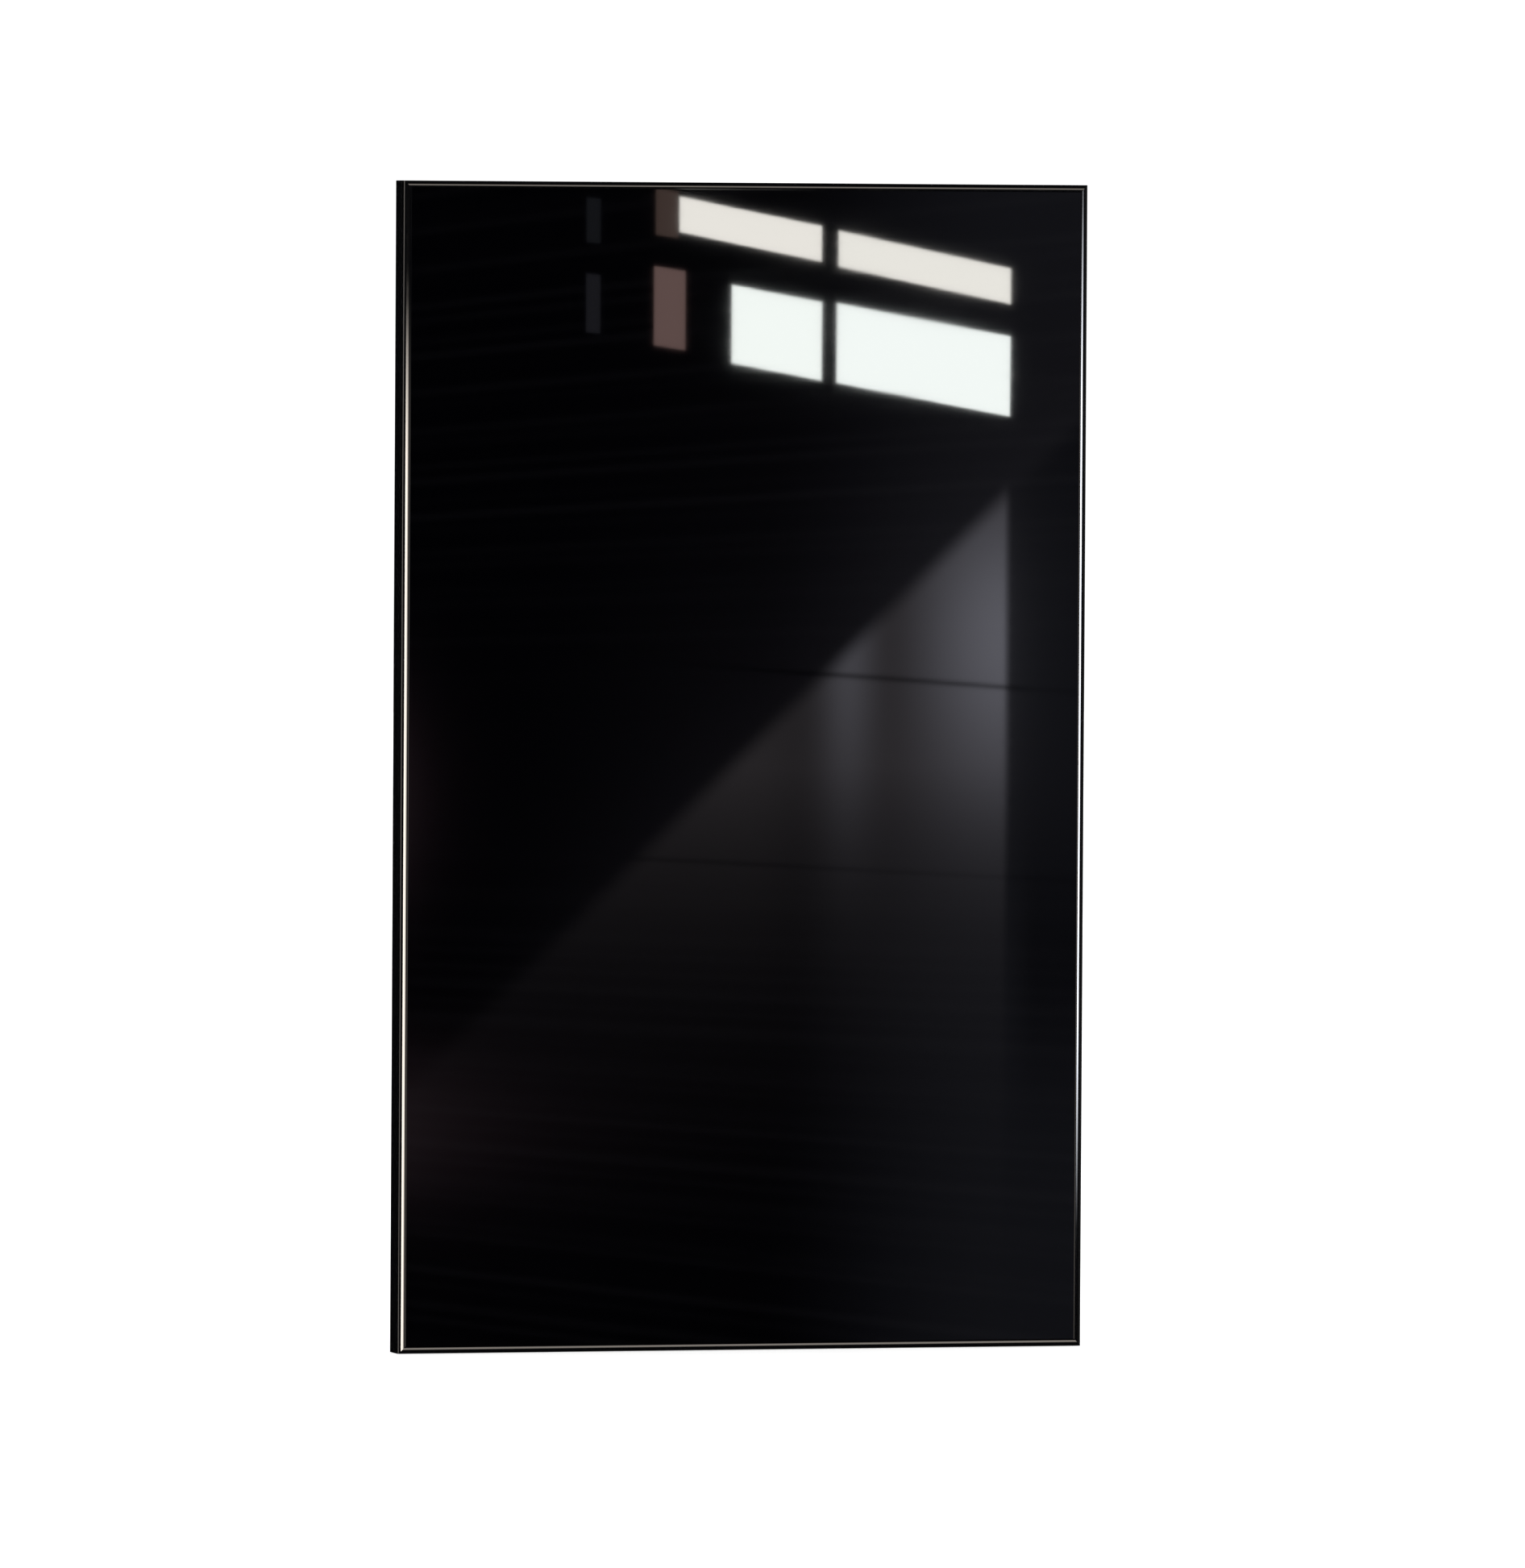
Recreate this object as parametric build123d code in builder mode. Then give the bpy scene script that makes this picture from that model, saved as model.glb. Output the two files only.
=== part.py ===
from build123d import *
import os

# Door kick plate: a gloss black board, lipped on four edges, that lifts on and off two concealed rails.
# Millimetres, +Z up. The plate's face looks along -Y, and the door's face is the plane Y = 0.
# The origin is the middle of the upper door rail's screw row, on the door's face.

# Plate
plate_w = 365.0  # over the lipping
plate_h = 600.0  # over the lipping
core_t = 16.0
face_t = 1.0
backing_t = 1.0
band_t = 3.5  # lipping, the same on all four edges
joint_bevel = 0.3  # on both sides of the joint between face and lipping
arris_d = 1.2  # depth of the quarter ellipse that rounds the lipping's front
back_round = 1.0  # lipping's outer back corner

# Rails: one Z section, used on the plate and upside down on the door
rail_t = 3.0
rail_play = 0.3  # between faces that slide past each other
leg_h = 12.0  # how far the two rails hook into each other
flange_h = 24.0
screw_drop = 14.0  # from the web's bearing face to the screw row
rail_side_inset = 40.0  # from the plate's side to the rail's end
rail_top_inset = 80.0  # from the plate's top to the upper door rail's screw row
rail_foot_inset = 80.0  # from the plate's foot to the lower door rail's screw row
root_r = 0.5
tip_r = 0.8
elbow_r = 1.2

# Screws: countersunk, one row to each rail
screw_count = 3
screw_end_inset = 22.5  # from the rail's end to its first screw
screw_r = 1.9
screw_l = 16.0
screw_tip_l = 3.0
screw_head_r = 4.0
screw_fit = 0.02  # shank in its pilot hole
clear_hole_r = 2.25
recess_span = 4.4
recess_slot = 1.1
recess_depth = 1.6
pilot_extra = 0.8  # pilot hole beyond the screw's tip

# Corner pads
pad_r = 8.0
pad_inset = 20.0  # from the plate's edges to the pad's centre
pad_round = 1.2

# Worked out from the sizes above
board_t = face_t + core_t + backing_t
arris_w = band_t - joint_bevel
leg_in = rail_t + 2 * rail_play
leg_out = leg_in + rail_t
standoff = leg_out + rail_play
rail_l = plate_w - 2 * rail_side_inset
screw_pitch = (rail_l - 2 * screw_end_inset) / (screw_count - 1)
y_back = -standoff
y_face = y_back - board_t
z_top = rail_top_inset
z_foot = z_top - plate_h
z_mid = (z_top + z_foot) / 2
panel_w = plate_w - 2 * band_t
panel_h = plate_h - 2 * band_t
door_rows = {"upper": 0.0, "lower": z_foot + rail_foot_inset}
plate_row_rise = 2 * screw_drop + leg_h  # plate rail's screw row above its door rail's

os.makedirs("parts", exist_ok=True)


def facing_door(y, z):
    """A plane across the plate at depth y and height z, whose normal points at the door."""
    return Plane(origin=(0, y, z), x_dir=(1, 0, 0), z_dir=(0, 1, 0))


def facing_room(y, z):
    """A plane across the plate at depth y and height z, whose normal points out into the room."""
    return Plane(origin=(0, y, z), x_dir=(1, 0, 0), z_dir=(0, -1, 0))


# Board: core, face sheet and backing sheet, glued face to face
plate_rows = [z + plate_row_rise for z in door_rows.values()]

with BuildPart() as core_board:
    with BuildSketch(facing_door(y_face + face_t, z_mid)):
        Rectangle(panel_w, panel_h)
    extrude(amount=core_t)
    for z_row in plate_rows:
        with Locations(facing_door(y_back - backing_t, z_row)):
            with GridLocations(screw_pitch, screw_pitch, screw_count, 1):
                Hole(screw_r + screw_fit, depth=screw_l - rail_t - backing_t + pilot_extra)
core_board.part.label = "core_board"
export_step(core_board.part, "parts/core_board.step")

with BuildPart() as face_sheet:
    with BuildSketch(facing_door(y_face, z_mid)):
        Rectangle(panel_w, panel_h)
    extrude(amount=face_t)
    chamfer(face_sheet.edges().group_by(Axis.Y)[0], joint_bevel)
face_sheet.part.label = "face_sheet"
export_step(face_sheet.part, "parts/face_sheet.step")

with BuildPart() as backing_sheet:
    with BuildSketch(facing_door(y_back - backing_t, z_mid)):
        Rectangle(panel_w, panel_h)
    extrude(amount=backing_t)
    for z_row in plate_rows:
        with Locations(facing_door(y_back, z_row)):
            with GridLocations(screw_pitch, screw_pitch, screw_count, 1):
                Hole(screw_r + screw_fit)
backing_sheet.part.label = "backing_sheet"
export_step(backing_sheet.part, "parts/backing_sheet.step")


# Lipping: four strips whose front is rounded off to the side, mitred at the corners
def make_band(name, outward, reach, length):
    """A strip whose outer face is reach from the plate's middle, in the direction outward."""
    out = Vector(*outward)
    along = out.cross(Vector(0, 1, 0))
    corner = Vector(0, y_face, z_mid) + out * reach
    with BuildPart() as band:
        with BuildSketch(Plane(origin=corner, x_dir=out, z_dir=along)):
            with BuildLine():
                Line((-band_t, joint_bevel), (-arris_w, 0))
                EllipticalCenterArc((-arris_w, arris_d), arris_w, arris_d, -90, arc_size=90)
                Line((0, arris_d), (0, board_t - back_round))
                CenterArc((-back_round, board_t - back_round), back_round, 0, 90)
                Line((-back_round, board_t), (-band_t, board_t))
                Line((-band_t, board_t), (-band_t, joint_bevel))
            make_face()
        extrude(amount=length / 2, both=True)
        for end in (along, -along):
            mitre = Plane(origin=corner + end * (length / 2), z_dir=end - out)
            split(bisect_by=mitre, keep=Keep.BOTTOM)
    band.part.label = name
    export_step(band.part, f"parts/{name}.step")


make_band("edge_band_top", (0, 0, 1), plate_h / 2, plate_w)
make_band("edge_band_bottom", (0, 0, -1), plate_h / 2, plate_w)
make_band("edge_band_left", (-1, 0, 0), plate_w / 2, plate_h)
make_band("edge_band_right", (1, 0, 0), plate_w / 2, plate_h)


# Rails: each plate rail's leg hooks down behind the leg of its door rail
def make_rail(name, section, screw_face):
    """Section's X runs out from the fixed face and its Y to the leg's tip, from the bearing face."""
    with BuildPart() as rail:
        with BuildSketch(section):
            with BuildLine():
                FilletPolyline(
                    (0, -flange_h),
                    (0, 0),
                    (leg_in, 0),
                    (leg_in, leg_h),
                    (leg_out, leg_h),
                    (leg_out, -rail_t),
                    (rail_t, -rail_t),
                    (rail_t, -flange_h),
                    radius=[tip_r, root_r, root_r, tip_r, tip_r, elbow_r, root_r, tip_r],
                    close=True,
                )
            make_face()
        extrude(amount=rail_l / 2, both=True)
        with Locations(screw_face):
            with GridLocations(screw_pitch, screw_pitch, screw_count, 1):
                CounterSinkHole(clear_hole_r, screw_head_r, counter_sink_angle=90)
    rail.part.label = name
    export_step(rail.part, f"parts/{name}.step")


# Screws: countersunk heads with a cross recess, flush in the plate rails
def make_screws(name, screw_face):
    """One row of screws, heads flush with the plane screw_face and shanks behind it."""
    top = (Align.CENTER, Align.CENTER, Align.MAX)
    head_h = screw_head_r - screw_r
    tip_plane = screw_face.offset(screw_tip_l - screw_l)
    with BuildPart() as screws:
        with Locations(screw_face):
            with GridLocations(screw_pitch, screw_pitch, screw_count, 1):
                Cylinder(screw_r, screw_l - screw_tip_l, align=top)
                Cone(screw_r, screw_head_r, head_h, align=top)
                Box(recess_span, recess_slot, recess_depth, align=top, mode=Mode.SUBTRACT)
                Box(recess_slot, recess_span, recess_depth, align=top, mode=Mode.SUBTRACT)
        with Locations(tip_plane):
            with GridLocations(screw_pitch, screw_pitch, screw_count, 1):
                Cone(0, screw_r, screw_tip_l, align=top)
    screws.part.label = name
    export_step(screws.part, f"parts/{name}.step")


for level, z_row in door_rows.items():
    z_hook = z_row + screw_drop
    on_door = Plane(origin=(0, 0, z_hook), x_dir=(0, -1, 0), z_dir=(-1, 0, 0))
    make_rail(f"{level}_door_rail", on_door, facing_room(-rail_t, z_row))
    on_plate = Plane(origin=(0, y_back, z_hook + leg_h), x_dir=(0, 1, 0), z_dir=(-1, 0, 0))
    screw_face = facing_door(y_back + rail_t, z_row + plate_row_rise)
    make_rail(f"{level}_plate_rail", on_plate, screw_face)
    make_screws(f"{level}_rail_screws", screw_face)

# Corner pads: rubber, stuck to the backing, and as deep as the gap to the door
with BuildPart() as corner_pads:
    with Locations(facing_door(y_back, z_mid)):
        with GridLocations(plate_w - 2 * pad_inset, plate_h - 2 * pad_inset, 2, 2):
            Cylinder(pad_r, standoff, align=(Align.CENTER, Align.CENTER, Align.MIN))
    fillet(corner_pads.edges().group_by(Axis.Y)[-1], pad_round)
corner_pads.part.label = "corner_pads"
export_step(corner_pads.part, "parts/corner_pads.step")
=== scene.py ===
import math

import bmesh
import bpy
import mathutils
import numpy as np
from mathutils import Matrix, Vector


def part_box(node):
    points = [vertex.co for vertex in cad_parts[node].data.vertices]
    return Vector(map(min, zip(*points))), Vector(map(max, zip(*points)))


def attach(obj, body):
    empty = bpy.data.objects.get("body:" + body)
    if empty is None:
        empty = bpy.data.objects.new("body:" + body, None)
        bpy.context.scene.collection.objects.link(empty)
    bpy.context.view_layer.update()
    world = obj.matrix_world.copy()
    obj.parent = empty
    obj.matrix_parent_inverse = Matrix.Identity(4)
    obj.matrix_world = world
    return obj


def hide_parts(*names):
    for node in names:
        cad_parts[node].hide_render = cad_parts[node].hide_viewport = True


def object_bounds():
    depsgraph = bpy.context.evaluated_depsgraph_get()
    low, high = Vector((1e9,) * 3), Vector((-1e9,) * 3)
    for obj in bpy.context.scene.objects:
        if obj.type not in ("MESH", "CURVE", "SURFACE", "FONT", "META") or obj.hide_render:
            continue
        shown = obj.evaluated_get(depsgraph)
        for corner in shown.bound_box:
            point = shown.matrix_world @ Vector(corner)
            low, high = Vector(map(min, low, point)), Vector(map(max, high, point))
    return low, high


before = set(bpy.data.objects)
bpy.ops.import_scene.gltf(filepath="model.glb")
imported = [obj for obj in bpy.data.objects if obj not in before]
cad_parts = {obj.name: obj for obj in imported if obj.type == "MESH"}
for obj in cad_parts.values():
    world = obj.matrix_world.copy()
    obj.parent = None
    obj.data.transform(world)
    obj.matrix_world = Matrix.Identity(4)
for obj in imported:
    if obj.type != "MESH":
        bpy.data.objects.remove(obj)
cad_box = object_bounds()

# Face sheet. Cast acrylic, about 1 mm thick and dyed black through, glued to the board with its edges
# lightly bevelled. It keeps the polish of the glass it was cast on, so it mirrors the room, with only a
# trace of waviness from the glue line and faint marks from wiping.
def linear(colour):
    """An sRGB hex colour as linear RGBA: a straight toe, then the 2.4 power curve."""
    channels = [int(colour[i:i + 2], 16) / 255 for i in (1, 3, 5)]
    return tuple(c / 12.92 if c <= 0.04045 else ((c + 0.055) / 1.055) ** 2.4 for c in channels) + (1.0,)


def add(tree, kind, settings, links=()):
    """Adds a node. Settings are properties or input values, links are (input, output socket) pairs."""
    new = tree.nodes.new(kind)
    for key, value in settings.items():
        if isinstance(key, str) and hasattr(new, key):
            setattr(new, key, value)
        else:
            new.inputs[key].default_value = value
    for key, source in links:
        tree.links.new(new.inputs[key], source)
    return new


def finish_of(name, colour, roughness, ior=1.5, metallic=0.0):
    """A material and its shader, with the values that are the same all over the surface."""
    made = bpy.data.materials.new(name)
    made.use_nodes = True
    shader = made.node_tree.nodes["Principled BSDF"]
    shader.inputs["Base Color"].default_value = linear(colour)
    shader.inputs["Roughness"].default_value = roughness
    shader.inputs["Metallic"].default_value = metallic
    shader.inputs["IOR"].default_value = ior
    return made, made.node_tree, shader


def per_metre(size_mm):
    """A noise scale whose features are about size_mm wide, on coordinates in metres."""
    return 1000.0 / size_mm


def dress(name, made):
    """Gives a CAD node a material and leaves its mesh alone."""
    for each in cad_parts[name].material_slots:
        each.material = made


acrylic, tree, shader = finish_of("cast_acrylic_polished_black", "#010102", 0.018, ior=1.49)
place = add(tree, "ShaderNodeTexCoord", {})
# wiping marks run across the sheet: 4 mm apart, drawn out to 200 mm
along = add(tree, "ShaderNodeMapping", {"Scale": (per_metre(200), 1.0, per_metre(4))},
            [("Vector", place.outputs["Object"])])
wiped = add(tree, "ShaderNodeTexNoise", {"Scale": 1.0, "Detail": 4.0, "Roughness": 0.6},
            [("Vector", along.outputs["Vector"])])
haze = add(tree, "ShaderNodeTexNoise", {"Scale": per_metre(70), "Detail": 3.0},
           [("Vector", place.outputs["Object"])])
marks = add(tree, "ShaderNodeMath", {"operation": "MULTIPLY"},
            [(0, wiped.outputs["Fac"]), (1, haze.outputs["Fac"])])
polish = add(tree, "ShaderNodeMapRange",
             {"From Min": 0.1, "From Max": 0.45, "To Min": 0.014, "To Max": 0.022},
             [("Value", marks.outputs["Value"])])
tree.links.new(shader.inputs["Roughness"], polish.outputs["Result"])
swell = add(tree, "ShaderNodeTexNoise", {"Scale": per_metre(120), "Detail": 1.0},
            [("Vector", place.outputs["Object"])])
wave = add(tree, "ShaderNodeBump", {"Strength": 0.6, "Distance": 0.00002},
           [("Height", swell.outputs["Fac"])])
streak = add(tree, "ShaderNodeBump", {"Strength": 0.25, "Distance": 0.000001},
             [("Height", wiped.outputs["Fac"]), ("Normal", wave.outputs["Normal"])])
tree.links.new(shader.inputs["Normal"], streak.outputs["Normal"])
dress("face_sheet", acrylic)

# Lipping. Four strips of black ABS, hot-glued round the board, rounded off to the side with a moulding
# cutter and buffed. They are mitred at the corners, and a fine bevel each side shows the joint with the face.
band_low, band_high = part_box("edge_band_left")
_, top_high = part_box("edge_band_top")
foot_low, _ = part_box("edge_band_bottom")
_, right_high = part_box("edge_band_right")
band_t = band_high[0] - band_low[0]
board_t = band_high[1] - band_low[1]
y_face = band_low[1]
plate_w = right_high[0] - band_low[0]
plate_h = top_high[2] - foot_low[2]
middle = np.array([0.0, y_face, (top_high[2] + foot_low[2]) / 2])
joint_bevel = 0.0003
arris_w = band_t - joint_bevel
arris_d = 0.0012
back_round = 0.001
arc_steps = 40


def arc(centre, radii, start, end, steps=arc_steps):
    """Points round an ellipse about centre with half-widths radii, from start to end degrees."""
    angles = np.radians(np.linspace(start, end, steps + 1))
    return np.stack([centre[0] + radii[0] * np.cos(angles), centre[1] + radii[1] * np.sin(angles)], 1)


def make_piece(name, points, faces, made, body, sharp_over=30):
    """A closed mesh piece from points and faces: doubles merged, faces outwards, sharp where it turns."""
    mesh = bpy.data.meshes.new(name)
    mesh.from_pydata(points.tolist(), [], faces)
    shell = bmesh.new()
    shell.from_mesh(mesh)
    bmesh.ops.remove_doubles(shell, verts=shell.verts, dist=1e-7)
    bmesh.ops.recalc_face_normals(shell, faces=shell.faces)
    shell.to_mesh(mesh)
    shell.free()
    mesh.shade_smooth()
    mesh.set_sharp_from_angle(angle=math.radians(sharp_over))
    mesh.materials.append(made)
    piece = bpy.data.objects.new(name, mesh)
    bpy.context.collection.objects.link(piece)
    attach(piece, body)
    return piece


def lipping_section():
    """Outline in (out, depth): bevel, quarter ellipse to the side, flat, small back round, flat back. A
    support point a little way into each flat keeps its shading flat."""
    hold = 0.00006
    return np.concatenate([
        [(-band_t, joint_bevel)],
        arc((-arris_w, arris_d), (arris_w, arris_d), -90, 0),
        [(0, arris_d + hold), (0, board_t - back_round - hold)],
        arc((-back_round, board_t - back_round), (back_round, back_round), 0, 90, 10),
        [(-back_round - hold, board_t), (-band_t, board_t)],
    ])


def make_band(name, outward, reach, length):
    """The section carried along one edge: each end is cut back as far as its point lies inwards."""
    section = lipping_section()
    out = np.array(outward, float)
    along_edge = np.cross(out, (0, 1, 0))
    base = middle + out * reach + section[:, :1] * out + section[:, 1:] * np.array([0, 1, 0])
    runs = length / 2 + section[:, :1]
    points = np.concatenate([base - along_edge * runs, base + along_edge * runs])
    count = len(section)
    ring = [[i, (i + 1) % count, count + (i + 1) % count, count + i] for i in range(count)]
    caps = [list(range(count)), list(range(count, 2 * count))]
    piece = make_piece(name + "_lipping", points, ring + caps, abs_lipping, "plate")
    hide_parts(name)
    return piece


abs_lipping, tree, shader = finish_of("abs_extruded_buffed_black", "#060607", 0.035, ior=1.53)
place = add(tree, "ShaderNodeTexCoord", {})
# buffing leaves a faint cloud 12 mm across, and the extruder a fine grain of 0.6 mm
buffed = add(tree, "ShaderNodeTexNoise", {"Scale": per_metre(12), "Detail": 5.0},
             [("Vector", place.outputs["Object"])])
polish = add(tree, "ShaderNodeMapRange", {"From Min": 0.3, "From Max": 0.7, "To Min": 0.025, "To Max": 0.06},
             [("Value", buffed.outputs["Fac"])])
tree.links.new(shader.inputs["Roughness"], polish.outputs["Result"])
grain = add(tree, "ShaderNodeTexNoise", {"Scale": per_metre(0.6), "Detail": 2.0},
            [("Vector", place.outputs["Object"])])
skin = add(tree, "ShaderNodeBump", {"Strength": 0.3, "Distance": 0.000002},
           [("Height", grain.outputs["Fac"])])
tree.links.new(shader.inputs["Normal"], skin.outputs["Normal"])
lipping = [make_band("edge_band_top", (0, 0, 1), plate_h / 2, plate_w),
           make_band("edge_band_bottom", (0, 0, -1), plate_h / 2, plate_w),
           make_band("edge_band_left", (-1, 0, 0), plate_w / 2, plate_h),
           make_band("edge_band_right", (1, 0, 0), plate_w / 2, plate_h)]

# Core board. Medium-density fibreboard, pressed wood fibre and resin, sanded. The sheets and the lipping
# hide all of it but the walls of the screw holes.
fibreboard, tree, shader = finish_of("fibreboard_pressed_raw", "#a98a62", 0.85, ior=1.45)
place = add(tree, "ShaderNodeTexCoord", {})
fibre = add(tree, "ShaderNodeTexNoise", {"Scale": per_metre(0.8), "Detail": 6.0, "Roughness": 0.7},
            [("Vector", place.outputs["Object"])])
tone = add(tree, "ShaderNodeValToRGB", {}, [("Fac", fibre.outputs["Fac"])])
tone.color_ramp.elements[0].position = 0.35
tone.color_ramp.elements[0].color = linear("#86683f")
tone.color_ramp.elements[1].position = 0.7
tone.color_ramp.elements[1].color = linear("#bd9d72")
tree.links.new(shader.inputs["Base Color"], tone.outputs["Color"])
fuzz = add(tree, "ShaderNodeBump", {"Strength": 0.5, "Distance": 0.00008}, [("Height", fibre.outputs["Fac"])])
tree.links.new(shader.inputs["Normal"], fuzz.outputs["Normal"])
dress("core_board", fibreboard)

# Backing sheet. Black balancing laminate, a resin-filled paper pressed against a textured plate, which
# leaves a fine pebble of about 0.9 mm and a low sheen.
laminate, tree, shader = finish_of("laminate_pressed_pearl_black", "#101113", 0.5, ior=1.5)
place = add(tree, "ShaderNodeTexCoord", {})
pebble = add(tree, "ShaderNodeTexVoronoi", {"Scale": per_metre(0.9), "feature": "SMOOTH_F1"},
             [("Vector", place.outputs["Object"])])
cloud = add(tree, "ShaderNodeTexNoise", {"Scale": per_metre(40), "Detail": 4.0},
            [("Vector", place.outputs["Object"])])
tone = add(tree, "ShaderNodeValToRGB", {}, [("Fac", cloud.outputs["Fac"])])
tone.color_ramp.elements[0].position = 0.3
tone.color_ramp.elements[0].color = linear("#0e0f11")
tone.color_ramp.elements[1].position = 0.75
tone.color_ramp.elements[1].color = linear("#17181a")
tree.links.new(shader.inputs["Base Color"], tone.outputs["Color"])
sheen = add(tree, "ShaderNodeMapRange", {"To Min": 0.42, "To Max": 0.6}, [("Value", cloud.outputs["Fac"])])
tree.links.new(shader.inputs["Roughness"], sheen.outputs["Result"])
press = add(tree, "ShaderNodeBump", {"Strength": 0.9, "Distance": 0.00018},
            [("Height", pebble.outputs["Distance"])])
tree.links.new(shader.inputs["Normal"], press.outputs["Normal"])
dress("backing_sheet", laminate)

# Hook rails. Extruded aluminium, cut to length, countersunk and satin anodised. The die leaves fine lines
# along the rail, and the etch before anodising a soft grain.
anodised, tree, shader = finish_of("aluminium_extruded_anodised", "#c8cacc", 0.36, metallic=1.0)
place = add(tree, "ShaderNodeTexCoord", {})
# die lines are 0.5 mm apart, drawn out to 300 mm
drawn = add(tree, "ShaderNodeMapping", {"Scale": (per_metre(300), per_metre(0.5), per_metre(0.5))},
            [("Vector", place.outputs["Object"])])
die = add(tree, "ShaderNodeTexNoise", {"Scale": 1.0, "Detail": 3.0}, [("Vector", drawn.outputs["Vector"])])
etch = add(tree, "ShaderNodeTexNoise", {"Scale": per_metre(0.4), "Detail": 2.0},
           [("Vector", place.outputs["Object"])])
both = add(tree, "ShaderNodeMath", {"operation": "ADD"}, [(0, die.outputs["Fac"]), (1, etch.outputs["Fac"])])
satin = add(tree, "ShaderNodeMapRange", {"From Min": 0.6, "From Max": 1.4, "To Min": 0.2, "To Max": 0.38},
            [("Value", both.outputs["Value"])])
tree.links.new(shader.inputs["Roughness"], satin.outputs["Result"])
lines = add(tree, "ShaderNodeBump", {"Strength": 0.8, "Distance": 0.00004},
            [("Height", both.outputs["Value"])])
tree.links.new(shader.inputs["Normal"], lines.outputs["Normal"])
for level in ("upper", "lower"):
    for side in ("plate", "door"):
        dress(f"{level}_{side}_rail", anodised)

# Rail screws. Countersunk wood screws, 4 mm, cold-headed with a cross recess, thread rolled, and bright
# zinc plated. The heads sit flush in the plate rails and the threads bite into the core.
head_r = 0.004
shank_r = 0.0019
root_r = 0.0013
screw_l = 0.016
tip_l = 0.003
thread_pitch = 0.0018
recess_r = 0.0022
recess_half = 0.00055
recess_depth = 0.0016
recess_wall = 0.0004
rim_from = 0.9  # share of the head's radius where its rim begins to roll down
rim_drop = 0.00035
ridge_half = 0.28  # half the thread ridge's width, as a share of the pitch
thread_start = 0.0015  # run under the head over which the thread rises
steps_round = 72


def turn_points(radius, height, turn):
    """Points at a radius and height round an axis along +Y: X from the cosine, Z from the sine."""
    return np.stack([radius * np.cos(turn), height, radius * np.sin(turn)], -1)


def grid_faces(rows, columns):
    """Quads of a grid whose points are numbered row by row."""
    first = np.arange(rows - 1)[:, None] * columns
    following = first + columns
    step = np.arange(columns - 1)[None, :]
    quads = np.stack([first + step, first + step + 1, following + step + 1, following + step], -1)
    return quads.reshape(-1, 4).tolist()


def screw_surface():
    """Rows from the recess floor over the head and down the thread to the point, columns round the axis.
    The recess is a cross of two slots with sloping walls, deepest in the middle. The head's rim rolls down
    with the square of the way to its edge. The thread is a ridge whose height falls off in line with the
    distance from a helix, and it fades under the head and at the point."""
    turn = np.linspace(0, 2 * np.pi, steps_round + 1)
    flat = np.linspace(0, head_r, 30)[:, None] * np.ones_like(turn)
    across, up = np.abs(flat * np.cos(turn)), np.abs(flat * np.sin(turn))
    slot_edge = np.minimum(np.maximum(across - recess_r, up - recess_half),
                           np.maximum(up - recess_r, across - recess_half))
    sunk = np.clip(-slot_edge / recess_wall, 0, 1)
    floor = recess_depth * np.clip(1.15 - flat / recess_r * 0.75, 0.2, 1)
    rolled_rim = rim_drop * np.clip((flat / head_r - rim_from) / (1 - rim_from), 0, 1) ** 2
    head = turn_points(flat, -sunk * floor - rolled_rim, np.broadcast_to(turn, flat.shape))
    neck = head_r - shank_r
    cone_down = np.linspace(0.25, 1, 6)[:, None] * neck * np.ones_like(turn)
    cone = turn_points(head_r - cone_down, -cone_down, np.broadcast_to(turn, cone_down.shape))
    down = np.linspace(neck, screw_l, 100)[1:, None] * np.ones_like(turn)
    phase = (down / thread_pitch + turn / (2 * np.pi)) % 1
    ridge = np.clip(1 - np.abs(phase - 0.5) / ridge_half, 0, 1)
    taper = np.clip((screw_l - down) / tip_l, 0, 1)
    under_head = np.clip((down - neck) / thread_start, 0, 1)
    body = shank_r + (root_r - shank_r) * under_head
    radius = (body + (shank_r - body) * ridge) * taper
    shank = turn_points(radius, -down, np.broadcast_to(turn, down.shape))
    return np.concatenate([head, cone, shank])


zinc, tree, shader = finish_of("steel_bright_zinc_plated", "#d2d0c4", 0.25, metallic=1.0)
place = add(tree, "ShaderNodeTexCoord", {})
plating = add(tree, "ShaderNodeTexNoise", {"Scale": per_metre(2.5), "Detail": 4.0},
              [("Vector", place.outputs["Object"])])
tone = add(tree, "ShaderNodeValToRGB", {}, [("Fac", plating.outputs["Fac"])])
tone.color_ramp.elements[0].position = 0.3
tone.color_ramp.elements[0].color = linear("#bfc1bd")
tone.color_ramp.elements[1].position = 0.7
tone.color_ramp.elements[1].color = linear("#ddd7c2")
tree.links.new(shader.inputs["Base Color"], tone.outputs["Color"])
gleam = add(tree, "ShaderNodeMapRange", {"To Min": 0.18, "To Max": 0.38},
            [("Value", plating.outputs["Fac"])])
tree.links.new(shader.inputs["Roughness"], gleam.outputs["Result"])
surface = screw_surface()
one_screw = surface.reshape(-1, 3)
screw_faces = np.array(grid_faces(surface.shape[0], surface.shape[1]))
for level in ("upper", "lower"):
    low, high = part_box(f"{level}_rail_screws")
    spots = np.linspace(low[0] + head_r, high[0] - head_r, 3)
    points = [one_screw + (x, high[1], (low[2] + high[2]) / 2) for x in spots]
    faces = [screw_faces + len(one_screw) * i for i in range(len(spots))]
    piece = make_piece(f"{level}_rail_screws_threaded", np.concatenate(points),
                       np.concatenate(faces).tolist(), zinc, "plate", sharp_over=40)
    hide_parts(f"{level}_rail_screws")

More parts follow.
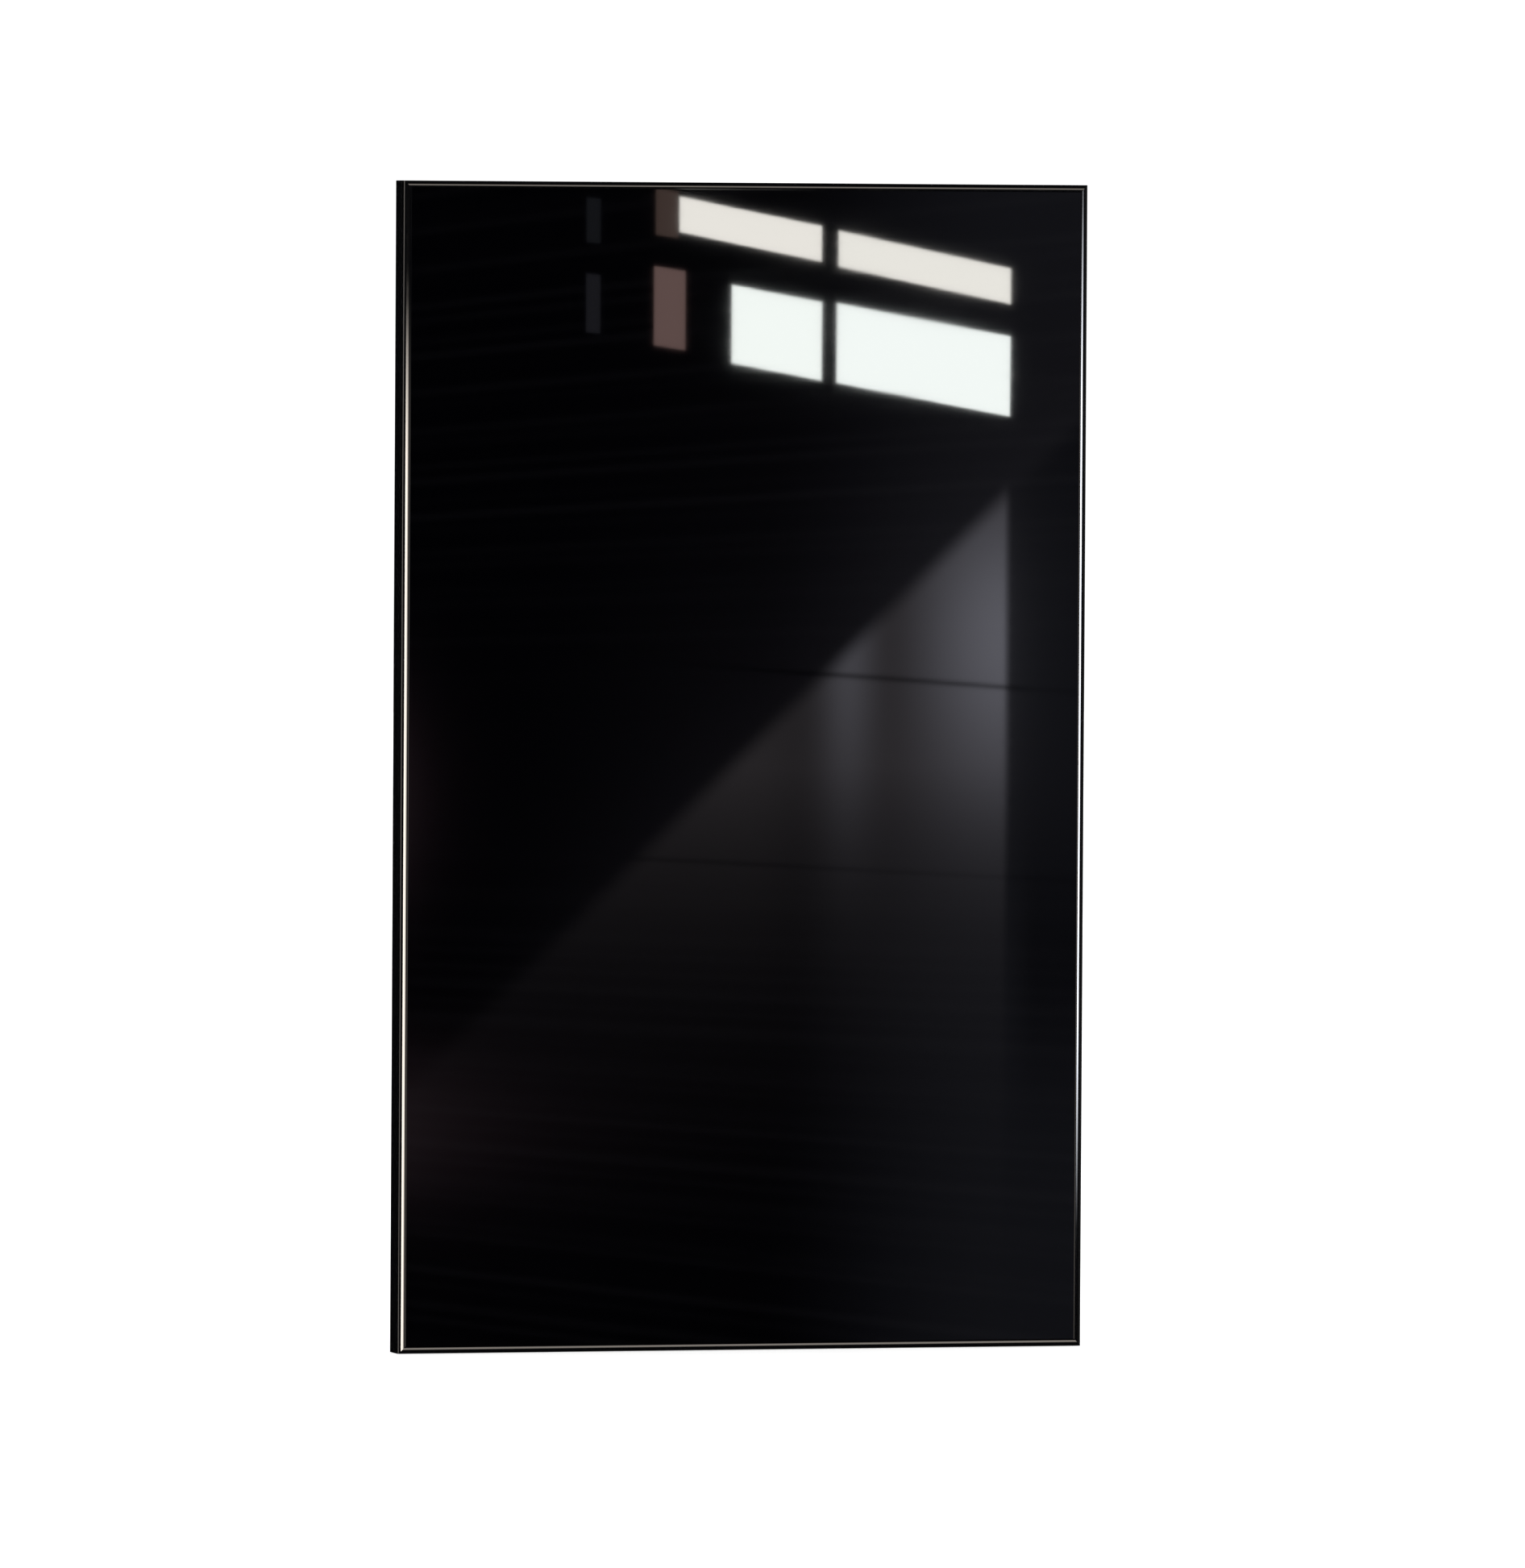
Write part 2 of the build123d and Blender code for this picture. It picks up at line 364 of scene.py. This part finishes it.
# Corner pads. Moulded black rubber bumpers with a glued foot, a slight taper to leave the mould and a
# shallow dish in the face that meets the door.
rubber, tree, shader = finish_of("rubber_moulded_black", "#1b1b1c", 0.62, ior=1.52)
place = add(tree, "ShaderNodeTexCoord", {})
bloom = add(tree, "ShaderNodeTexNoise", {"Scale": per_metre(5), "Detail": 5.0},
            [("Vector", place.outputs["Object"])])
tone = add(tree, "ShaderNodeValToRGB", {}, [("Fac", bloom.outputs["Fac"])])
tone.color_ramp.elements[0].position = 0.3
tone.color_ramp.elements[0].color = linear("#161617")
tone.color_ramp.elements[1].position = 0.8
tone.color_ramp.elements[1].color = linear("#2a2a2b")
tree.links.new(shader.inputs["Base Color"], tone.outputs["Color"])
mould = add(tree, "ShaderNodeTexNoise", {"Scale": per_metre(0.5), "Detail": 3.0},
            [("Vector", place.outputs["Object"])])
matt = add(tree, "ShaderNodeBump", {"Strength": 0.5, "Distance": 0.00004}, [("Height", mould.outputs["Fac"])])
tree.links.new(shader.inputs["Normal"], matt.outputs["Normal"])
pads_low, pads_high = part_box("corner_pads")
pad_r = 0.008
pad_round = 0.0012
pad_taper = 0.0004
foot_bevel = 0.0003
dish_r = 0.0042
dish_floor_r = 0.0030
dish_depth = 0.0007
pad_h = pads_high[1] - pads_low[1]
crown_r = pad_r - pad_taper
pad_section = np.concatenate([
    [(0, 0), (pad_r - foot_bevel, 0), (pad_r, foot_bevel)],
    arc((crown_r - pad_round, pad_h - pad_round), (pad_round, pad_round), 0, 90, 12),
    [(dish_r, pad_h), (dish_r - 0.0002, pad_h - 0.00005)],
    [(dish_floor_r + 0.0004, pad_h - dish_depth + 0.0001), (dish_floor_r, pad_h - dish_depth)],
    [(0, pad_h - dish_depth)],
])
turn = np.linspace(0, 2 * np.pi, 73)
pad_grid = turn_points(pad_section[:, :1] * np.ones_like(turn), pad_section[:, 1:] * np.ones_like(turn),
                       np.broadcast_to(turn, (len(pad_section), len(turn))))
pad_faces = np.array(grid_faces(*pad_grid.shape[:2]))
one_pad = pad_grid.reshape(-1, 3)
points, faces = [], []
for x in (pads_low[0] + pad_r, pads_high[0] - pad_r):
    for z in (pads_low[2] + pad_r, pads_high[2] - pad_r):
        faces.append(pad_faces + len(one_pad) * len(points))
        points.append(one_pad + (x, pads_low[1], z))
piece = make_piece("corner_pads_moulded", np.concatenate(points), np.concatenate(faces).tolist(),
                   rubber, "plate", sharp_over=35)
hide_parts("corner_pads")

# Camera. A long lens a little to the left of the plate and just above its middle.
camera_azimuth = -16.01
camera_height = 1.74
camera_roll = 0.339
camera_distance = 9.0
aim = middle + (0.00947, 0.0, -0.00883)


def heading(azimuth, height):
    """Unit vector from the plate towards a point at that azimuth, 0 in front, and height, in degrees."""
    a, e = math.radians(azimuth), math.radians(height)
    return np.array([math.sin(a) * math.cos(e), -math.cos(a) * math.cos(e), math.sin(e)])


lens = bpy.data.cameras.new("camera")
lens.lens = 402.0
lens.sensor_width = 36.0
lens.clip_end = 60.0
camera = bpy.data.objects.new("camera", lens)
bpy.context.collection.objects.link(camera)
eye = aim + heading(camera_azimuth, camera_height) * camera_distance
camera.location = eye
towards = heading(camera_azimuth, camera_height)
right = np.cross((0, 0, 1), towards)
right /= np.linalg.norm(right)
up = np.cross(towards, right)
roll = math.radians(camera_roll)
rolled_right = right * math.cos(roll) + up * math.sin(roll)
rolled_up = up * math.cos(roll) - right * math.sin(roll)
axes = np.array([rolled_right, rolled_up, towards]).T
camera.rotation_euler = mathutils.Matrix(axes.tolist()).to_euler()
bpy.context.scene.camera = camera

# Studio. A pale floor under an even white surround, which lights the object and stands behind it. What
# gloss mirrors is set apart: a dim room with windows for the face, and narrow lamps for the rounded edges.
scene = bpy.context.scene
scene.view_settings.view_transform = "Standard"
world = bpy.data.worlds.new("surround")
world.use_nodes = True
scene.world = world
tree = world.node_tree
sky = tree.nodes["Background"]
sky.inputs["Color"].default_value = (1, 1, 1, 1)
sky.inputs["Strength"].default_value = 1.1
path = add(tree, "ShaderNodeLightPath", {})
facing = add(tree, "ShaderNodeTexCoord", {})
split = add(tree, "ShaderNodeSeparateXYZ", {}, [("Vector", facing.outputs["Generated"])])
# mirrored surroundings: dark in front of the plate, pale behind it, but for a dark doorway on the left
behind = add(tree, "ShaderNodeMapRange", {"From Min": 0.2, "From Max": 0.85, "To Min": 0.0, "To Max": 1.0},
             [("Value", split.outputs["Y"])])
above = add(tree, "ShaderNodeMapRange", {"From Min": -0.5, "From Max": 0.6, "To Min": 0.5, "To Max": 1.7},
            [("Value", split.outputs["Z"])])
tilt = add(tree, "ShaderNodeMath", {"operation": "ABSOLUTE"}, [(0, split.outputs["Z"])])
over_door = add(tree, "ShaderNodeMapRange", {"From Min": 0.2, "From Max": 0.45},
                [("Value", tilt.outputs["Value"])])
doorway_x = -0.276
from_door = add(tree, "ShaderNodeMath", {"operation": "SUBTRACT", 1: doorway_x}, [(0, split.outputs["X"])])
aside = add(tree, "ShaderNodeMath", {"operation": "ABSOLUTE"}, [(0, from_door.outputs["Value"])])
beside_door = add(tree, "ShaderNodeMapRange", {"From Min": 0.16, "From Max": 0.3},
                  [("Value", aside.outputs["Value"])])
clear = add(tree, "ShaderNodeMath", {"operation": "MAXIMUM"},
            [(0, over_door.outputs["Result"]), (1, beside_door.outputs["Result"])])
open_part = add(tree, "ShaderNodeMath", {"operation": "MULTIPLY"},
                [(0, behind.outputs["Result"]), (1, clear.outputs["Value"])])
pale_part = add(tree, "ShaderNodeMath", {"operation": "MULTIPLY"},
                [(0, open_part.outputs["Value"]), (1, above.outputs["Result"])])
# to the sides it is dim at the plate's own height and lighter above and below
reach_out = add(tree, "ShaderNodeMath", {"operation": "ABSOLUTE"}, [(0, split.outputs["X"])])
sideways = add(tree, "ShaderNodeMapRange", {"From Min": 0.6, "From Max": 0.9},
               [("Value", reach_out.outputs["Value"])])
side_level = add(tree, "ShaderNodeMapRange",
                 {"From Min": 0.1, "From Max": 0.4, "To Min": 0.15, "To Max": 1.3},
                 [("Value", tilt.outputs["Value"])])
side_part = add(tree, "ShaderNodeMath", {"operation": "MULTIPLY"},
                [(0, sideways.outputs["Result"]), (1, side_level.outputs["Result"])])
brighter = add(tree, "ShaderNodeMath", {"operation": "MAXIMUM"},
               [(0, pale_part.outputs["Value"]), (1, side_part.outputs["Value"])])
dark_level = 0.002
pale = add(tree, "ShaderNodeMath", {"operation": "ADD", 1: dark_level}, [(0, brighter.outputs["Value"])])
room = add(tree, "ShaderNodeBackground", {"Color": (1, 1, 1, 1)}, [("Strength", pale.outputs["Value"])])
pick = add(tree, "ShaderNodeMixShader", {}, [(0, path.outputs["Is Glossy Ray"]),
                                             (1, sky.outputs["Background"]), (2, room.outputs["Background"])])
tree.links.new(tree.nodes["World Output"].inputs["Surface"], pick.outputs["Shader"])

floor_mesh = bpy.data.meshes.new("floor")
floor_half = 12.0
floor_z = cad_box[0][2] - 0.0002
floor_corners = [(-1, -1), (1, -1), (1, 1), (-1, 1)]
floor_mesh.from_pydata([(x * floor_half, y * floor_half, floor_z) for x, y in floor_corners], [],
                       [(0, 1, 2, 3)])
paper, tree, shader = finish_of("backdrop_paper_white", "#fafafa", 0.9)
shader.inputs["Specular IOR Level"].default_value = 0.0
shader.inputs["Emission Color"].default_value = (1, 1, 1, 1)
shader.inputs["Emission Strength"].default_value = 0.4  # lightens the contact shadow
floor_mesh.materials.append(paper)
floor = bpy.data.objects.new("floor", floor_mesh)
bpy.context.collection.objects.link(floor)
floor.visible_glossy = False


def mirrored_only_in(name, pieces):
    """A collection of the pieces that a card may show in."""
    chosen = bpy.data.collections.new(name)
    for each in pieces:
        chosen.objects.link(each)
    return chosen


def make_card(name, points, faces, glow, shows_in=None):
    """A glowing card that only gloss can see. Glow is linear RGB at each point. A card that shows in some
    pieces only is clear to the others, which see what is behind it."""
    mesh = bpy.data.meshes.new(name)
    mesh.from_pydata(points.tolist(), [], faces)
    shade = mesh.color_attributes.new("glow", "FLOAT_COLOR", "POINT")
    rgba = np.concatenate([glow, np.ones((len(glow), 1))], 1)
    shade.data.foreach_set("color", rgba.astype(np.float32).ravel())
    made = bpy.data.materials.new(name)
    made.use_nodes = True
    tree = made.node_tree
    tree.nodes.clear()
    source = add(tree, "ShaderNodeAttribute", {"attribute_name": "glow"})
    light = add(tree, "ShaderNodeEmission", {"Strength": 1.0}, [("Color", source.outputs["Color"])])
    clear = add(tree, "ShaderNodeBsdfTransparent", {})
    both = add(tree, "ShaderNodeAddShader", {}, [(0, light.outputs["Emission"]), (1, clear.outputs["BSDF"])])
    surface = both.outputs["Shader"] if shows_in else light.outputs["Emission"]
    add(tree, "ShaderNodeOutputMaterial", {}, [("Surface", surface)])
    mesh.materials.append(made)
    card = bpy.data.objects.new(name, mesh)
    bpy.context.collection.objects.link(card)
    card.visible_camera = False
    card.visible_diffuse = False
    card.visible_shadow = False
    card.visible_transmission = False
    card.light_linking.receiver_collection = shows_in


def mirrored(across, down, reach):
    """Card points whose image shows on the face at across and down, in metres from its top left corner:
    the sight line to that point is reflected in the face and followed for reach."""
    on_face = np.stack([across - plate_w / 2, np.full_like(across, y_face), top_high[2] - down], -1)
    sight = on_face - eye
    sight /= np.linalg.norm(sight, axis=-1, keepdims=True)
    return on_face + sight * (1, -1, 1) * reach


mirror_share = 0.0387  # of the light that acrylic sends back near square on


def make_pane(name, left, right_end, top, drop, fall, colour):
    """A window pane whose image on the face runs from left to right_end, falling by fall as it goes. The
    colour is the one its image has."""
    across = np.array([left, right_end, right_end, left])
    sag = (across - left) * fall
    down = top + sag + np.array([0, 0, drop, drop])
    glow = np.tile(np.array(linear(colour)[:3]) / mirror_share, (4, 1))
    make_card(name, mirrored(across, down, window_reach), [(0, 1, 2, 3)], glow)


window_reach = 1.5
room_reach = 1.7
make_pane("window_upper_left", 0.146, 0.222, 0.0072, 0.0183, 0.195, "#e7e4dd")
make_pane("window_upper_right", 0.231, 0.3235, 0.0242, 0.0186, 0.205, "#e7e5de")
make_pane("window_lower_left", 0.174, 0.2224, 0.0522, 0.0405, 0.182, "#f2f8f4")
make_pane("window_lower_right", 0.2303, 0.3235, 0.0614, 0.0412, 0.182, "#f2f8f5")
make_pane("wall_upper_near", 0.1333, 0.1455, 0.003, 0.024, 0.15, "#3b302c")
make_pane("wall_lower_near", 0.1325, 0.1492, 0.0430, 0.0405, 0.15, "#5c4a47")
make_pane("wall_upper_far", 0.0965, 0.104, 0.008, 0.023, 0.1, "#121315")
make_pane("wall_lower_far", 0.0965, 0.104, 0.047, 0.030, 0.1, "#17171a")


def soft_step(value, low, high):
    """0 below low, 1 above high, with the smooth cubic between."""
    t = np.clip((value - low) / (high - low), 0, 1)
    return t * t * (3 - 2 * t)


def bump_at(value, centre, width):
    """A smooth hump of height 1 at centre."""
    return np.exp(-((value - centre) / width) ** 2 / 2)


streak_level = 0.297


def room_glow(across, down):
    """The dim room on the face, in linear light. A pale wall stands in daylight below a falling diagonal:
    low and even at the left, bright beside its upright right-hand edge, with a narrow bright fold. A halo
    spills over the diagonal. The right side is cool and dim, and two warm patches lie at the left. Two thin
    dark seams cross it all, and faint streaks fan out from the left, level at streak_level."""
    # the diagonal, with the wall lit below it and the halo fading by e every 100 mm above it
    diagonal = 0.157 + (0.3226 - across) * 0.954
    lit = soft_step(down - diagonal, -0.006, 0.012)
    halo = np.exp(-np.clip(diagonal - down, 0, 1) / 0.1) * (1 - lit)
    spill = 0.08 * halo * soft_step(across, 0.0, 0.2)
    # the wall's even light, with one dimmer upright stripe, and the daylight on its folds
    low_wall = 0.44 * np.exp(-np.clip(down - 0.30, 0, 1) / 0.058) * (1 - 0.2 * bump_at(across, 0.212, 0.012))
    daylight = bump_at(down, 0.232, np.where(down < 0.232, 0.045, 0.052))
    folds = 1.96 * soft_step(across, 0.255, 0.325) + 0.9 * bump_at(across, 0.2375, 0.0095)
    # the wall ends at its upright edge, past which a little light fades within 13 mm
    past_edge = soft_step(across, 0.3205, 0.3245)
    jamb = 1 - past_edge + 0.08 * past_edge * np.exp(-np.clip(across - 0.3245, 0, 1) / 0.013)
    # the cool side, dimmer at two heights, and the warm patches
    beyond = soft_step(across, 0.322, 0.34)
    dips = bump_at(down, 0.40, 0.045)
    high_dip = bump_at(down, 0.10, 0.05)
    cool_side = 0.13 * soft_step(across, 0.185, 0.33) * (1 - 0.5 * beyond * dips) * (1 - 0.35 * high_dip)
    warm_side = (0.16 * bump_at(down, 0.483, 0.028) * np.exp(-across / 0.05) +
                 0.165 * bump_at(down, 0.315, 0.04) * np.exp(-across / 0.015))
    # the seams, about 2 mm wide, which come up from the left and fade to the right
    upper_line = 0.2516 + (across - 0.213) * 0.069
    lower_line = 0.3466 + (across - 0.119) * 0.0525
    upper_part = 0.7 * soft_step(across, 0.12, 0.22) * (1 - 0.7 * beyond)
    lower_part = 0.4 * soft_step(across, 0.10, 0.13) * (1 - 0.5 * soft_step(across, 0.16, 0.3))
    upper_seam = upper_part * bump_at(down, upper_line, 0.0009)
    lower_seam = lower_part * bump_at(down, lower_line, 0.0009)
    seams = 1 - upper_seam - lower_seam
    # the streaks: two products of two waves each, so that they come in uneven groups
    fan = (down - streak_level) / (1 + 0.47 * across)
    ripple = (np.sin(2 * np.pi * fan / 0.0127) * np.sin(2 * np.pi * fan / 0.0318 + 1) +
              0.6 * np.sin(2 * np.pi * fan / 0.0071 + 2) * np.sin(2 * np.pi * fan / 0.0545))
    streaks = 0.018 * np.clip(ripple + 0.2, 0, 2) * soft_step(np.abs(fan), 0.0, 0.14)
    parts = ((lit * jamb * low_wall, (1.1, 0.99, 1.06)), (lit * jamb * daylight * folds, (0.97, 0.99, 1.17)),
             (spill, (1.0, 0.92, 1.1)), (cool_side, (0.95, 0.98, 1.22)), (warm_side, (1.3, 0.85, 1.0)),
             (streaks, (1.0, 0.97, 1.08)))
    return seams[..., None] * sum(amount[..., None] * np.array(tint) for amount, tint in parts)


room_margin = 0.02  # the room's image runs on this far past the plate's edges
columns = np.linspace(-room_margin, plate_w + room_margin, 203)
rows = np.linspace(-room_margin, plate_h + room_margin, 641)
across, down = np.meshgrid(columns, rows)
room_points = mirrored(across, down, room_reach).reshape(-1, 3)
make_card("room_wall", room_points, grid_faces(*across.shape), room_glow(across, down).reshape(-1, 3))

warm = np.array(linear("#fff4e8")[:3])
cool = np.array(linear("#f2f6ff")[:3])


def far_room_glow(swing, height):
    """The rest of the room, which other views see in the face, in linear light from an azimuth and a height
    in degrees: soft upright bands, 11 degrees apart, over a lighter floor, and a row of windows, 14 degrees
    apart and level with the plate, each with an upright bar and a cross bar."""
    level = 0.12 + 0.45 * soft_step(-height, 4, 30) + 0.2 * soft_step(height, 8, 30)
    bands = 0.15 + 0.85 * (0.5 + 0.5 * np.sin(2 * np.pi * swing / 11 + 1.9)) ** 2
    aside = np.abs((swing + 5) % 14 - 7)
    pane_width = (1 - soft_step(aside, 1.9, 2.1)) * soft_step(aside, 0.1, 0.2)
    pane_height = soft_step(height, 1.2, 1.4) * (1 - soft_step(height, 5.0, 5.2))
    cross_bar = bump_at(height, 3.6, 0.12)
    window = pane_width * pane_height * (1 - cross_bar)
    return (level * bands + 4.5 * window)[..., None] * cool


face_only = mirrored_only_in("face_only", [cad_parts["face_sheet"]])
far_reach = 3.0
swing, height = np.meshgrid(np.linspace(-88, 88, 881), np.linspace(-75, 50, 301))
level_part = np.cos(np.radians(height))
far_headings = np.stack([np.sin(np.radians(swing)) * level_part, -np.cos(np.radians(swing)) * level_part,
                         np.sin(np.radians(height))], -1)
make_card("far_room", (middle + far_reach * far_headings).reshape(-1, 3), grid_faces(*swing.shape),
          far_room_glow(swing, height).reshape(-1, 3), face_only)

lipping_only = mirrored_only_in("lipping_only", lipping)
lamp_reach = 1.6
camera_fall = math.tan(math.radians(camera_height))
lamp_stretch = 1 + lamp_reach / camera_distance


def fade(share, rise, fall=None):
    """1 over the middle of a share from 0 to 1. It rises until rise and, given a pair, falls between them."""
    risen = soft_step(share, 0.0, rise) if rise else np.ones_like(share)
    fallen = soft_step(share, *fall) if fall else np.zeros_like(share)
    return risen * (1 - fallen)


def make_lamp(name, outward, angles, ends, shift, glow, along_fade, turn_fade):
    """A long card seen in one rounded edge: it fills the angles from the first to the second, in degrees
    counted from straight ahead towards outward. Its image runs along the edge between the ends, in metres
    from the middle. The fades are fade's values along it and across it, from its inner side."""
    out = np.array(outward, float)
    ahead = np.array([0.0, -1.0, 0.0])
    edge = np.abs(np.cross(out, ahead))
    along_share, turn_share = np.meshgrid(np.linspace(0, 1, 61), np.linspace(0, 1, 25), indexing="ij")
    angle = np.radians(angles[0] + (angles[1] - angles[0]) * turn_share)[..., None]
    run = (ends[0] + (ends[1] - ends[0]) * along_share)[..., None] * lamp_stretch
    start = middle + out * (plate_w if out[0] else plate_h) / 2 + np.array(shift)
    points = start + (ahead * np.cos(angle) + out * np.sin(angle)) * lamp_reach + edge * run
    shade = fade(along_share, *along_fade) * fade(turn_share, *turn_fade)
    make_card(name, points.reshape(-1, 3), grid_faces(*along_share.shape),
              (shade[..., None] * glow).reshape(-1, 3), lipping_only)


side_shift = (0, 0, -lamp_reach * camera_fall)
slant_shift = (lamp_reach * math.tan(math.radians(-camera_azimuth)), 0, 0)
make_lamp("lamp_left", (-1, 0, 0), (-12, 17), (-0.31, 0.27), side_shift, 26 * warm,
          (0, (0.78, 0.97)), (0.55,))
make_lamp("lamp_left_far", (-1, 0, 0), (73, 106), (-0.31, 0.31), side_shift, 5.0 * warm,
          (0,), (0.3, (0.7, 1.0)))
make_lamp("lamp_right", (1, 0, 0), (18.2, 31), (-0.24, 0.34), side_shift, 36 * cool,
          (0.24, (0.68, 0.97)), (0, (0.75, 1.0)))
make_lamp("lamp_top", (0, 0, 1), (8.5, 24), (-0.25, 0.25), slant_shift, 3.4 * warm,
          (0,), (0.3, (0.6, 1.0)))
make_lamp("lamp_foot", (0, 0, -1), (5.6, 24), (-0.25, 0.25), slant_shift, 4.4 * warm,
          (0,), (0.2, (0.6, 1.0)))
